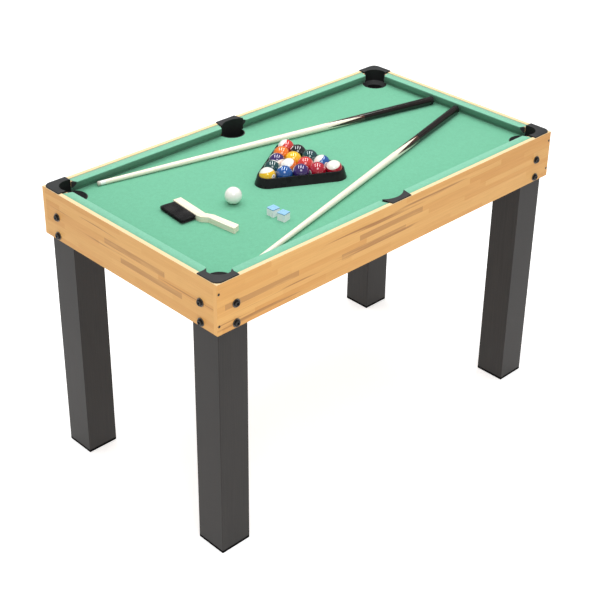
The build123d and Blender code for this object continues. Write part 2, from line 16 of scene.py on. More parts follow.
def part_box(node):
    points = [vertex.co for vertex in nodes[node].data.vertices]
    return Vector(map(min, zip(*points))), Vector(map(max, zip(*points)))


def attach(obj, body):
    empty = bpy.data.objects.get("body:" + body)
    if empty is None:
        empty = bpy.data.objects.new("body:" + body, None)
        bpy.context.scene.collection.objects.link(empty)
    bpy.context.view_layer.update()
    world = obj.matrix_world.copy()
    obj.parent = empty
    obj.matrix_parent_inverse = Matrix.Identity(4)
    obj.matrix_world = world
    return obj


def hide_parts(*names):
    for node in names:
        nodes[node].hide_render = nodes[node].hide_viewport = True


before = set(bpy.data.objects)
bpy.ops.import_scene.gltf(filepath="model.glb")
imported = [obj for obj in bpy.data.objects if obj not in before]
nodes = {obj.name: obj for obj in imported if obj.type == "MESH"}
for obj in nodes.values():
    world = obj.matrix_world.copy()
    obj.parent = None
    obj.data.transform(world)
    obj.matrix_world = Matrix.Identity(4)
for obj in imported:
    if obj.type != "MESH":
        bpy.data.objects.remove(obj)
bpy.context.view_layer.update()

MM = 0.001

# The table, as the CAD has it
INNER_X = 0.598                  # the aprons' inner faces
INNER_Y = 0.323
BED_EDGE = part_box("bed_cloth")[1]
BED_TOP = BED_EDGE.z
HOLE_RADIUS = 36 * MM
CORNER_CENTRE = 42.5 * MM        # from both inner faces to the middle of a corner hole
SIDE_CENTRE = 18 * MM
BALL_RADIUS = 22.225 * MM
APRON_HEIGHT = 134 * MM

# The cues, as the CAD has them
CUE_LENGTH = 1.067
CUE_BUTT_RADIUS = 12 * MM
CUE_TIP_RADIUS = 6.2 * MM
CUE_BUTT_LENGTH = 0.245
CUE_TIP_LENGTH = 8 * MM
SPLICE_LENGTH = 0.125
FERRULE_LENGTH = 14 * MM
BUMPER_LENGTH = 12 * MM
# The middle of each butt's end, the way the cue points in degrees from +X, and how far it is rolled
CUES = {"cue_far": ((0.567, 0.0605), 167.65, 0), "cue_near": ((0.567, -0.030), 194.04, 30)}


# Node materials -----------------------------------------------------------------------------------

class Surface:
    """One procedural material, whose sockets are fed with values or with the outputs of other nodes."""

    def __init__(self, name, **principled):
        self.material = bpy.data.materials.new(name)
        self.material.use_nodes = True
        self.tree = self.material.node_tree
        self.shader = self.tree.nodes["Principled BSDF"]
        coordinates = self.node("TexCoord")
        self.place = coordinates.outputs["Object"]
        self.normal = coordinates.outputs["Normal"]
        self.set(**principled)

    def node(self, kind, feeds=(), **settings):
        made = self.tree.nodes.new("ShaderNode" + kind)
        for key, value in settings.items():
            setattr(made, key, value)
        for socket, value in dict(feeds).items():
            self.feed(made.inputs[socket], value)
        return made

    def feed(self, socket, value):
        if isinstance(value, bpy.types.NodeSocket):
            self.tree.links.new(value, socket)
        else:
            socket.default_value = value

    def set(self, **principled):
        """Principled inputs by name, with _ for a space: Base_Color, Roughness and so on."""
        for key, value in principled.items():
            if isinstance(value, tuple) and len(value) == 3:
                value = (*value, 1)
            self.feed(self.shader.inputs[key.replace("_", " ")], value)

    def math(self, operation, *values):
        made = self.node("Math", operation=operation)
        for socket, value in zip(made.inputs, values):
            self.feed(socket, value)
        return made.outputs[0]

    def vector(self, operation, *values, output="Vector"):
        made = self.node("VectorMath", operation=operation)
        for socket, value in zip(made.inputs, values):
            self.feed(socket, value)
        return made.outputs[output]

    def dot(self, vector, direction):
        return self.vector("DOT_PRODUCT", vector, tuple(direction), output="Value")

    def parts(self, vector):
        """The X, Y and Z of a vector."""
        return self.node("SeparateXYZ", {"Vector": vector}).outputs

    def scaled(self, scale):
        """The object's own coordinates with each axis scaled."""
        return self.vector("MULTIPLY", self.place, scale)

    def noise(self, scale, detail=3, at=None, rough=0.5):
        feeds = {"Vector": at or self.place, "Scale": scale, "Detail": detail, "Roughness": rough}
        return self.node("TexNoise", feeds).outputs["Fac"]

    def mix(self, share, low, high):
        """Two colours mixed, as much of high as share says."""
        made = self.node("Mix", data_type="RGBA")
        for socket, value in zip((made.inputs[0], made.inputs[6], made.inputs[7]), (share, low, high)):
            self.feed(socket, (*value, 1) if isinstance(value, tuple) and len(value) == 3 else value)
        return made.outputs[2]

    def span(self, value, low, high, to_low=0.0, to_high=1.0, smooth=False):
        """value taken from the range low..high to the range to_low..to_high, and held there."""
        feeds = {"Value": value, "From Min": low, "From Max": high, "To Min": to_low, "To Max": to_high}
        made = self.node("MapRange", feeds, interpolation_type="SMOOTHSTEP" if smooth else "LINEAR")
        return made.outputs[0]

    def bump(self, height, distance, strength, under=None):
        feeds = {"Height": height, "Distance": distance, "Strength": strength}
        if under is not None:
            feeds["Normal"] = under
        return self.node("Bump", feeds).outputs["Normal"]


# Materials ----------------------------------------------------------------------------------------

HONEY = (0.64, 0.310, 0.080)
PALE_HONEY = (0.72, 0.395, 0.122)
BROWN = (0.36, 0.155, 0.046)
PORE_BROWN = (0.36, 0.18, 0.060)
EDGE_CREAM = (0.82, 0.63, 0.37)
PALE_PINE = (0.76, 0.57, 0.34)
DARK_PINE = (0.60, 0.40, 0.20)
STAVE_HEIGHT = APRON_HEIGHT / 9
STAVE_LENGTH = 0.23
STAVE_STAGGER = 17.0             # the most that a row of staves is shifted, in stave lengths
STAVE_DRAW = 3.7                 # any other value draws other dark staves
DARK_LOT = 0.90                  # staves that draw more than this are dark


def butcher_block(name, along):
    """Laminate printed as glued staves that run along one axis."""
    s = Surface(name, Specular_IOR_Level=0.28)
    axis = "XYZ".index(along)

    def stretched(lengthwise, across):
        return s.scaled(tuple(lengthwise if i == axis else across for i in range(3)))

    place = s.parts(s.place)
    row = s.math("FLOOR", s.math("DIVIDE", place[2], STAVE_HEIGHT))
    stagger = s.node("TexWhiteNoise", {"W": row}, noise_dimensions="1D").outputs["Value"]
    stave = s.math("FLOOR", s.math("ADD", s.math("DIVIDE", place[axis], STAVE_LENGTH),
                                   s.math("MULTIPLY", stagger, STAVE_STAGGER)))
    seat = s.node("CombineXYZ", {"X": row, "Y": stave, "Z": STAVE_DRAW}).outputs[0]
    draw = s.node("TexWhiteNoise", {"Vector": seat}, noise_dimensions="3D")
    lot = draw.outputs["Value"]
    streak = s.noise(1.0, 4, s.vector("ADD", stretched(4, 60), draw.outputs["Color"]), 0.6)
    grain = s.noise(1.0, 3, stretched(14, 500), 0.6)
    heart = s.noise(1.0, 3, stretched(1.7, 70), 0.5)
    pores = s.noise(700, 2)

    tone = s.mix(s.span(lot, 0, 0.78), HONEY, PALE_HONEY)
    dark_stave = s.math("MULTIPLY", s.span(lot, DARK_LOT, DARK_LOT + 0.01, 0, 0.62),
                        s.span(streak, 0.28, 0.50, 0.35, 1, smooth=True))
    dark_streak = s.span(heart, 0.63, 0.69, 0, 0.9, smooth=True)
    tone = s.mix(s.math("MAXIMUM", dark_stave, dark_streak), tone, BROWN)
    tone = s.mix(s.span(grain, 0.35, 0.75, 0, 0.22), tone, PORE_BROWN)
    tone = s.mix(s.span(streak, 0.25, 0.5, 0.25, 0), tone, PALE_HONEY)

    facing = s.parts(s.normal)
    end_grain = s.mix(s.span(pores, 0.42, 0.62, 0, 0.3), PALE_HONEY, HONEY)
    tone = s.mix(s.span(s.math("ABSOLUTE", facing[axis]), 0.6, 0.9), tone, end_grain)
    top_edge = s.mix(s.span(grain, 0.4, 0.7, 0, 0.2), EDGE_CREAM, PALE_HONEY)
    tone = s.mix(s.span(facing[2], 0.4, 0.75), tone, top_edge)
    s.set(Base_Color=tone,
          Roughness=s.span(grain, 0.3, 0.7, 0.36, 0.50),
          Normal=s.bump(grain, 0.00006, 0.5))
    return s.material


def felt(name, colour, painted_side_shade=1.0):
    """Napped playing cloth: a fine fuzz, mottled tones that drift, and painted shade on the sides that don't
    face up.
    """
    s = Surface(name, Roughness=0.95, Specular_IOR_Level=0.15, Sheen_Weight=0.35, Sheen_Roughness=0.5)
    s.set(Sheen_Tint=(0.75, 1.0, 0.88))
    fuzz = s.noise(1600, 4, rough=0.7)
    clumps = s.noise(260, 3)
    mottle = s.noise(110, 3, rough=0.7)
    drift = s.noise(5, 2)
    dark, light = tuple(c * 0.84 for c in colour), tuple(min(1, c * 1.12) for c in colour)
    tone = s.mix(s.span(fuzz, 0.3, 0.7), dark, light)
    tone = s.mix(s.span(clumps, 0.35, 0.65, 0, 0.35), tone, light)
    tone = s.mix(s.span(mottle, 0.38, 0.62, 0, 0.45), tone, dark)
    tone = s.mix(s.span(drift, 0.3, 0.7, 0, 0.12), tone, dark)
    # Painted shade: the sides that don't face up are drawn darker.
    upward = s.parts(s.normal)[2]
    tone = s.mix(s.span(upward, 0.15, 0.75, 1, 0), tone, tuple(c * painted_side_shade for c in colour))
    s.set(Base_Color=tone, Normal=s.bump(fuzz, 0.00025, 0.9, s.bump(clumps, 0.0002, 0.4)))
    return s.material


def moulded(name, colour, rough, pebble=2200, depth=0.00005, worn=None, shine=0.5, painted_upright_shade=1.0):
    """Moulded plastic: a fine pebbled skin that varies a little. Upright faces can be darkened with painted
    shade.
    """
    s = Surface(name, Specular_IOR_Level=shine)
    skin = s.noise(pebble, 2)
    drift = s.noise(35, 3)
    lighter = worn or tuple(min(1, c * 1.5 + 0.004) for c in colour)
    tone = s.mix(s.span(drift, 0.35, 0.7, 0, 0.6), colour, lighter)
    # Painted shade: faces that don't face up are drawn darker.
    if painted_upright_shade < 1:
        upward = s.parts(s.normal)[2]
        tone = s.mix(s.span(upward, 0.2, 0.8, 1, 0), tone, tuple(c * painted_upright_shade for c in colour))
    s.set(Base_Color=tone,
          Roughness=s.span(drift, 0.3, 0.7, rough - 0.06, rough + 0.08),
          Normal=s.bump(skin, depth, 0.6))
    return s.material


def dark_laminate(name):
    """Charcoal laminate with a faint upright grain."""
    s = Surface(name, Specular_IOR_Level=0.2)
    grain = s.noise(1.0, 4, s.scaled((420, 420, 7)), 0.65)
    drift = s.noise(1.0, 2, s.scaled((6, 6, 3)))
    tone = s.mix(s.span(grain, 0.3, 0.72), (0.018, 0.016, 0.015), (0.030, 0.027, 0.025))
    tone = s.mix(s.span(drift, 0.3, 0.7, 0, 0.3), tone, (0.036, 0.032, 0.030))
    s.set(Base_Color=tone,
          Roughness=s.span(grain, 0.3, 0.7, 0.34, 0.46),
          Normal=s.bump(grain, 0.00004, 0.5))
    return s.material


def plain_wood(name, pale, dark, scale, rough=0.6, fibres=False):
    """Bare wood with its grain along one axis, or pressed fibres with none."""
    s = Surface(name, Specular_IOR_Level=0.3)
    grain = s.noise(1.0, 5, s.scaled(scale), 0.65)
    fleck = s.noise(900 if fibres else 300, 3)
    tone = s.mix(s.span(grain, 0.3, 0.7), pale, dark)
    tone = s.mix(s.span(fleck, 0.45, 0.7, 0, 0.35), tone, tuple(c * 0.7 for c in dark))
    s.set(Base_Color=tone,
          Roughness=s.span(fleck, 0.3, 0.7, rough - 0.1, rough + 0.1),
          Normal=s.bump(grain, 0.00012, 0.5))
    return s.material


def brush_wood(name):
    """Pale lacquered wood with its grain along the handle."""
    s = Surface(name, Specular_IOR_Level=0.5, Coat_Weight=0.4, Coat_Roughness=0.12)
    grain = s.noise(1.0, 4, s.scaled((260, 14, 260)), 0.6)
    tone = s.mix(s.span(grain, 0.3, 0.72), (0.96, 0.91, 0.78), (0.88, 0.75, 0.53))
    s.set(Base_Color=tone,
          Roughness=s.span(grain, 0.3, 0.7, 0.30, 0.42),
          Normal=s.bump(grain, 0.00005, 0.4))
    return s.material


def metal(name, colour, rough, metallic):
    """Turned or blackened steel with fine wear."""
    s = Surface(name, Metallic=metallic)
    wear = s.noise(420, 4, rough=0.6)
    worn = tuple(min(1, c * 1.8 + 0.03) for c in colour)
    s.set(Base_Color=s.mix(s.span(wear, 0.55, 0.75, 0, 0.5), colour, worn),
          Roughness=s.span(wear, 0.3, 0.7, rough - 0.08, rough + 0.12),
          Normal=s.bump(wear, 0.00003, 0.4))
    return s.material


# Ball finishes ------------------------------------------------------------------------------------

BALL_COLOURS = {
    1: (0.86, 0.50, 0.01), 2: (0.008, 0.085, 0.32), 3: (0.60, 0.035, 0.030), 4: (0.038, 0.012, 0.12),
    5: (0.80, 0.17, 0.01), 6: (0.005, 0.052, 0.055), 7: (0.42, 0.006, 0.026), 8: (0.005, 0.005, 0.007),
}
IVORY = (0.90, 0.88, 0.82)
STRIPE_HALF = 0.56               # as a share of the radius
DISC_ANGLE = math.radians(17)

# How each ball lies: the way its number faces, and for a striped ball the way its pole does
NEAR = Vector((-0.61, -0.63, 0.48))
RIGHT = Vector((0.72, -0.69, 0.01))
UPWARDS = Vector((0.33, 0.35, 0.88))


def lie(near, right, upwards):
    """A direction from how much it turns to the table's near corner, to the right and upwards."""
    return (NEAR * near + RIGHT * right + UPWARDS * upwards).normalized()


BALL_LIES = {
    1: (lie(0.2, 0.2, -0.9), None), 2: (lie(0.3, -0.5, 0.8), None), 3: (lie(-0.2, 0.6, 0.3), None),
    4: (lie(0.2, -0.9, 0.2), None), 5: (lie(-0.3, -0.6, 0.2), None), 6: (lie(0.1, 0.9, -0.3), None),
    7: (lie(0.35, -0.8, -0.25), None), 8: (lie(0.25, -0.75, 0.62), None),
    9: (lie(0.62, 0.75, -0.15), lie(0.30, -0.20, 0.90)),
    10: (lie(0.7, 0.5, -0.2), lie(0.25, -0.60, 0.60)),
    11: (lie(-0.5, 0.5, 0.2), lie(0.15, -0.75, 0.65)),
    12: (lie(-0.7, 0.5, -0.15), lie(-0.50, -0.50, 0.70)),
    13: (lie(-0.5, 0.4, 0.2), lie(0.65, -0.35, 0.65)),
    14: (lie(-0.3, 0.75, -0.48), lie(-0.45, 0.35, 0.82)),
    15: (lie(-0.4, 0.8, -0.2), lie(0.70, -0.22, 0.72)),
}


def ball_centre(name):
    """The middle of a ball's CAD node."""
    low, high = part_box(name)
    return (low + high) / 2


def ball_finish(name, colour, centre, number=None, pole=None):
    """Polished resin: one colour or a band round a pole, with a white disc where the number is."""
    s = Surface(name, Specular_IOR_Level=0.9, Coat_Weight=1.0, Coat_Roughness=0.03)
    out = s.vector("NORMALIZE", s.vector("SUBTRACT", s.place, tuple(centre)))
    cloud = s.noise(60, 3)
    lighter = tuple(min(1, c * 1.15 + 0.01) for c in colour)
    tone = s.mix(s.span(cloud, 0.35, 0.7, 0, 0.25), colour, lighter)
    if pole is not None:
        height = s.math("ABSOLUTE", s.dot(out, pole))
        tone = s.mix(s.span(height, STRIPE_HALF - 0.01, STRIPE_HALF + 0.01), tone, IVORY)
    if number is not None:
        facing = s.dot(out, number)
        edge = math.cos(DISC_ANGLE)
        tone = s.mix(s.span(facing, edge - 0.002, edge + 0.002), tone, IVORY)
    scuffs = s.noise(180, 5, rough=0.7)
    s.set(Base_Color=tone, Roughness=s.span(scuffs, 0.45, 0.75, 0.05, 0.14))
    return s.material


# Cues and chalk -----------------------------------------------------------------------------------

CUE_CREAM = (0.95, 0.89, 0.75)
CUE_TAN = (0.80, 0.66, 0.44)
VENEER_RED = (0.16, 0.05, 0.02)
FERRULE_WHITE = (0.93, 0.92, 0.88)
RUBBER_BLACK = (0.012, 0.012, 0.012)
RUBBER_ROUGH = 0.7
SPLICE_ANGLE = math.radians(42)  # half the width of a spliced point at its root
BUTT_COAT = 0.45


def cue_axes(place, heading):
    """The middle of a cue's butt end, its direction to the tip, and the level and upward ways across it."""
    tilt = math.asin((CUE_BUTT_RADIUS - CUE_TIP_RADIUS) / CUE_LENGTH)
    turn = math.radians(heading)
    axis = Vector((math.cos(tilt) * math.cos(turn), math.cos(tilt) * math.sin(turn), -math.sin(tilt)))
    across = Vector((-math.sin(turn), math.cos(turn), 0))
    return Vector((*place, BED_TOP + CUE_BUTT_RADIUS)), axis, across, axis.cross(across)


def cue_coordinates(s, place, heading):
    """How far a point is along a cue, and its two distances across it."""
    start, axis, across, lift = cue_axes(place, heading)
    out = s.vector("SUBTRACT", s.place, tuple(start))
    return s.dot(out, axis), s.dot(out, across), s.dot(out, lift)


def cue_grain(s, along, across, lift):
    """Long fibres that run down a cue."""
    lengthwise = s.node("CombineXYZ", {"X": along, "Y": across, "Z": lift}).outputs[0]
    return s.noise(1.0, 4, s.vector("MULTIPLY", lengthwise, (9, 500, 500)), 0.6)


def shaft_finish(name, place, heading, roll):
    """Pale lacquered wood, with dark spliced points from the butt and a white ferrule by the tip."""
    s = Surface(name, Specular_IOR_Level=0.5, Coat_Weight=0.5, Coat_Roughness=0.08)
    along, across, lift = cue_coordinates(s, place, heading)
    turn = s.math("ADD", s.math("ARCTAN2", across, lift), math.radians(roll))
    from_point = s.math("PINGPONG", turn, math.pi / 4)
    splice_end = CUE_BUTT_LENGTH + SPLICE_LENGTH
    width = s.span(along, CUE_BUTT_LENGTH, splice_end, SPLICE_ANGLE, 0)
    splice = s.math("LESS_THAN", from_point, width)
    veneer = s.math("LESS_THAN", from_point, s.math("MULTIPLY_ADD", width, 1.08, 0.04))
    short_of_point = s.math("LESS_THAN", along, splice_end)
    ferrule = s.math("GREATER_THAN", along, CUE_LENGTH - CUE_TIP_LENGTH - FERRULE_LENGTH)
    grain = cue_grain(s, along, across, lift)
    dark_wood = s.mix(s.span(grain, 0.3, 0.7), (0.020, 0.012, 0.010), (0.060, 0.026, 0.016))
    tone = s.mix(s.span(grain, 0.35, 0.75, 0, 0.4), CUE_CREAM, CUE_TAN)
    tone = s.mix(s.math("MULTIPLY", veneer, short_of_point), tone, VENEER_RED)
    tone = s.mix(splice, tone, dark_wood)
    tone = s.mix(ferrule, tone, FERRULE_WHITE)
    s.set(Base_Color=tone,
          Roughness=s.span(grain, 0.3, 0.7, 0.22, 0.34),
          Normal=s.bump(grain, 0.00003, 0.4))
    return s.material


def butt_finish(name, place, heading):
    """Black gloss lacquer over stained wood, with a rubber bumper at the very end."""
    s = Surface(name, Specular_IOR_Level=0.25, Coat_Roughness=0.05)
    along, across, lift = cue_coordinates(s, place, heading)
    grain = cue_grain(s, along, across, lift)
    tone = s.mix(s.span(grain, 0.35, 0.7), (0.005, 0.0045, 0.0045), (0.018, 0.011, 0.009))
    bumper = s.math("LESS_THAN", along, BUMPER_LENGTH)
    lacquer_rough = s.span(grain, 0.3, 0.7, 0.20, 0.32)
    s.set(Base_Color=s.mix(bumper, tone, RUBBER_BLACK),
          Roughness=s.math("MAXIMUM", lacquer_rough, s.math("MULTIPLY", bumper, RUBBER_ROUGH)),
          Coat_Weight=s.math("SUBTRACT", BUTT_COAT, s.math("MULTIPLY", bumper, BUTT_COAT)))
    return s.material


WRAP_GAP = 2.2 * MM              # from a chalk's top down to its paper
WRAP_LINE = 0.9 * MM             # the dark line along the paper's edge


def chalk_finish(name, top):
    """Pressed blue chalk: a paper wrap on the sides that stops a little below the top."""
    s = Surface(name, Roughness=0.9, Specular_IOR_Level=0.2)
    height = s.parts(s.place)[2]
    dust = s.noise(900, 4, rough=0.7)
    smear = s.noise(130, 4)
    blue = s.mix(s.span(dust, 0.3, 0.7), (0.20, 0.42, 0.62), (0.34, 0.56, 0.76))
    paper = s.mix(s.span(smear, 0.5, 0.72, 0, 0.35), (0.90, 0.90, 0.92), (0.62, 0.76, 0.90))
    tone = s.mix(s.math("GREATER_THAN", height, top - WRAP_GAP), paper, (0.12, 0.30, 0.52))
    tone = s.mix(s.math("GREATER_THAN", height, top - WRAP_GAP + WRAP_LINE), tone, blue)
    tone = s.mix(s.math("GREATER_THAN", s.parts(s.normal)[2], 0.5), tone, blue)
    s.set(Base_Color=tone, Normal=s.bump(dust, 0.0002, 0.7))
    return s.material


# Which CAD node has which material ----------------------------------------------------------------

def give(name, material):
    """Put a material on a CAD node in place of what it was packed with."""
    mesh = nodes[name].data
    mesh.materials.clear()
    mesh.materials.append(material)


block_x = butcher_block("Block_long", "X")
block_y = butcher_block("Block_end", "Y")
for side in ("front", "back"):
    give(f"apron_{side}", block_x)
for side in ("left", "right"):
    give(f"apron_{side}", block_y)

fibreboard = plain_wood("Fibreboard", (0.46, 0.33, 0.21), (0.38, 0.26, 0.16), (90, 90, 90), 0.8, True)
give("bed_board", fibreboard)
softwood_x = plain_wood("Softwood_long", PALE_PINE, DARK_PINE, (6, 160, 160))
softwood_y = plain_wood("Softwood_across", PALE_PINE, DARK_PINE, (160, 6, 160))
for name in ("bed_cleats", "rail_front_left", "rail_front_right", "rail_back_left", "rail_back_right"):
    give(name, softwood_x)
for name in ("cross_battens", "rail_left_end", "rail_right_end"):
    give(name, softwood_y)
give("rail_cushions", moulded("Cushion_rubber", (0.03, 0.03, 0.03), 0.75))

leg_finish = dark_laminate("Leg_laminate")
# The pockets' upright faces, inside the cups, get painted shade.
pocket_finish = moulded("Pocket_plastic", (0.028, 0.029, 0.030), 0.62, 1500, 0.00012, shine=0.35,
                        painted_upright_shade=0.3)
for corner in ("front_left", "front_right", "back_left", "back_right"):
    give(f"leg_{corner}", leg_finish)
    give(f"pocket_{corner}", pocket_finish)
for side in ("front", "back"):
    give(f"pocket_{side}_side", pocket_finish)
give("foot_caps", moulded("Foot_plastic", (0.005, 0.005, 0.005), 0.55, shine=0))

black_steel = metal("Black_steel", (0.018, 0.018, 0.018), 0.38, 0.6)
give("leg_bolts", black_steel)
give("corner_screws", black_steel)
zinc = metal("Zinc", (0.13, 0.12, 0.11), 0.46, 0.8)
give("leg_washers", zinc)
give("leg_tee_nuts", zinc)
give("ball_rack", moulded("Rack_plastic", (0.010, 0.010, 0.011), 0.30, 900, 0.00002, shine=0.22))

for number, (face, pole) in BALL_LIES.items():
    ball = f"ball_{number}"
    colour = BALL_COLOURS[number if number <= 8 else number - 8]
    give(ball, ball_finish(f"Ball_{number}_resin", colour, ball_centre(ball), face, pole))
give("cue_ball", ball_finish("Cue_ball_resin", (0.95, 0.93, 0.87), ball_centre("cue_ball")))

for name, (place, heading, roll) in CUES.items():
    give(f"{name}_shaft", shaft_finish(f"{name}_shaft_finish", place, heading, roll))
    give(f"{name}_butt", butt_finish(f"{name}_butt_finish", place, heading))
    give(f"{name}_tip", moulded(f"{name}_leather", (0.62, 0.56, 0.46), 0.85, 1200, 0.0002,
                                worn=(0.50, 0.52, 0.52)))
for name in ("chalk_1", "chalk_2"):
    give(name, chalk_finish(f"{name}_finish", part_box(name)[1].z))
give("brush_back", brush_wood("Brush_wood"))


# Pieces made here ---------------------------------------------------------------------------------

def piece(name, bm, material, body, sharp=40):
    """A mesh piece that rides on a body, with crisp edges where it turns by more than sharp degrees."""
    mesh = bpy.data.meshes.new(name)
    bm.to_mesh(mesh)
    bm.free()
    mesh.materials.append(material)
    mesh.shade_smooth()
    mesh.set_sharp_from_angle(angle=math.radians(sharp))
    made = bpy.data.objects.new(name, mesh)
    bpy.context.scene.collection.objects.link(made)
    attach(made, body)
    return made


def thicken(made, thick):
    """Give an open sheet its thickness, on the side that its faces turn away from."""
    solidify = made.modifiers.new("Thickness", "SOLIDIFY")
    solidify.thickness = thick
    solidify.offset = -1


def strip(bm, rows, closed=False):
    """Quads between rows of vertices of equal length."""
    for low, high in zip(rows, rows[1:]):
        ends = range(len(low)) if closed else range(1, len(low))
        for i in ends:
            bm.faces.new((low[i - 1], low[i], high[i], high[i - 1]))


def fill(bm, *loops):
    """Triangles inside the first closed loop of vertices and outside the others."""
    edges = [bm.edges.get(pair) or bm.edges.new(pair)
             for loop in loops for pair in zip(loop, loop[1:] + loop[:1])]
    bmesh.ops.triangle_fill(bm, use_beauty=True, edges=edges)


def turn_up(bm):
    """Make the faces agree, with the largest one facing up."""
    bmesh.ops.recalc_face_normals(bm, faces=bm.faces)
    if max(bm.faces, key=lambda face: face.calc_area()).normal.z < 0:
        bmesh.ops.reverse_faces(bm, faces=bm.faces)


# Bed cloth ----------------------------------------------------------------------------------------

# The cloth's roll over a hole's edge, outwards from the hole and down, in mm
ROLL = ((3.0, 0.0), (1.9, 0.06), (1.0, 0.28), (0.4, 0.60), (0.1, 1.0))
HOLE_STEPS = 48
BED_CLOTH_THICK = 0.9 * MM


def rolled_rim(bm, arc, closed):
    """The cloth over a hole's edge, whose plan points at a radius come from arc. Returns the top row."""
    rows = [[bm.verts.new((x, y, BED_TOP - drop * MM)) for x, y in arc(HOLE_RADIUS + outwards * MM)]
            for outwards, drop in ROLL]
    strip(bm, rows, closed)
    return rows[0]


def make_bed_cloth(material):
    """The bed's cloth, stretched over the board and rolled over the edge of each pocket hole."""
    bm = bmesh.new()
    side_rims = {}
    for y_sign in (-1, 1):
        middle = INNER_Y - SIDE_CENTRE

        def cut_circle(radius):
            dip = math.asin((BED_EDGE.y - middle) / radius)
            turns = [math.pi - dip + (math.pi + 2 * dip) * i / HOLE_STEPS for i in range(HOLE_STEPS + 1)]
            return [(radius * math.cos(a), y_sign * (middle + radius * math.sin(a))) for a in turns]

        side_rims[y_sign] = rolled_rim(bm, cut_circle, closed=False)
    near_left, near_right, far_right, far_left = [
        bm.verts.new((x_sign * BED_EDGE.x, y_sign * BED_EDGE.y, BED_TOP))
        for x_sign, y_sign in ((-1, -1), (1, -1), (1, 1), (-1, 1))]
    loops = [[near_left, *side_rims[-1], near_right, far_right, *reversed(side_rims[1]), far_left]]
    for x_sign in (-1, 1):
        for y_sign in (-1, 1):
            x, y = x_sign * (INNER_X - CORNER_CENTRE), y_sign * (INNER_Y - CORNER_CENTRE)

            def circle(radius):
                turns = [2 * math.pi * i / HOLE_STEPS for i in range(HOLE_STEPS)]
                return [(x + radius * math.cos(a), y + radius * math.sin(a)) for a in turns]

            loops.append(rolled_rim(bm, circle, closed=True))
    fill(bm, *loops)
    turn_up(bm)
    made = piece("bed_felt", bm, material, "table")
    thicken(made, BED_CLOTH_THICK)
    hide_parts("bed_cloth")


# Rail cloths --------------------------------------------------------------------------------------

RAIL_WIDTH = 27 * MM
HORN_WIDTH = 18 * MM
MITRE = 12 * MM
SIDE_SLANT = 6 * MM
SIDE_CAP_DEPTH = 20 * MM
LONG_END = INNER_X - 57 * MM
SHORT_END = INNER_Y - 57 * MM
SIDE_END = 34 * MM
# Inwards from the apron and up from the bed, in mm: the top, the nose, the cushion's slope and its foot
RAIL_SECTION = ((0.3, 28.5), (27, 28.5), (27, 23.5), (19, 8.85), (15.8, 8.85), (15.8, 0.4))
SECTION_EASE = 2.3 * MM          # how far back from a corner of the section its rounding starts
EASE_STEPS = 6
# The cloth's fold at a rail's end, back from the end and into the rail, in mm
END_FOLD = ((0.80, 0.0), (0.35, 0.12), (0.10, 0.38), (0.0, 0.75))
END_PROUD = 0.15 * MM
RAIL_CLOTH_THICK = 0.7 * MM

SIDES = {
    "front": (Vector((1, 0, 0)), Vector((0, 1, 0)), INNER_Y),
    "back": (Vector((-1, 0, 0)), Vector((0, -1, 0)), INNER_Y),
    "left": (Vector((0, -1, 0)), Vector((1, 0, 0)), INNER_X),
    "right": (Vector((0, 1, 0)), Vector((-1, 0, 0)), INNER_X),
}
RAILS = {
    "front_left": ("front", (-LONG_END, "corner"), (-SIDE_END, "side")),
    "front_right": ("front", (SIDE_END, "side"), (LONG_END, "corner")),
    "back_right": ("back", (-LONG_END, "corner"), (-SIDE_END, "side")),
    "back_left": ("back", (SIDE_END, "side"), (LONG_END, "corner")),
    "left_end": ("left", (-SHORT_END, "corner"), (SHORT_END, "corner")),
    "right_end": ("right", (-SHORT_END, "corner"), (SHORT_END, "corner")),
}


def eased_section():
    """The rail section with its corners rounded, and the outward direction at each point."""
    sharp = [Vector(point) * MM for point in RAIL_SECTION]
    points = [sharp[0]]
    for before, corner, after in zip(sharp, sharp[1:], sharp[2:]):
        back, on = before - corner, after - corner
        reach = min(SECTION_EASE, 0.45 * back.length, 0.45 * on.length)
        start, end = corner + back.normalized() * reach, corner + on.normalized() * reach
        for i in range(EASE_STEPS + 1):
            t = i / EASE_STEPS
            points.append(start * (1 - t) ** 2 + corner * (2 * t * (1 - t)) + end * t**2)
    points.append(sharp[-1])
    outwards = []
    for i in range(len(points)):
        way = points[min(i + 1, len(points) - 1)] - points[max(i - 1, 0)]
        outwards.append(Vector((-way.y, way.x)).normalized())
    return points, outwards


def end_cut(kind, inwards):
    """How far a rail's end is cut back at a distance in from the apron."""
    if kind == "side":
        if inwards < SIDE_CAP_DEPTH:
            return SIDE_SLANT * inwards / SIDE_CAP_DEPTH
        past_cap = (inwards - SIDE_CAP_DEPTH) / (RAIL_WIDTH - SIDE_CAP_DEPTH)
        return SIDE_SLANT + (MITRE - SIDE_SLANT) * past_cap
    return MITRE * max(0, inwards - HORN_WIDTH) / (RAIL_WIDTH - HORN_WIDTH)


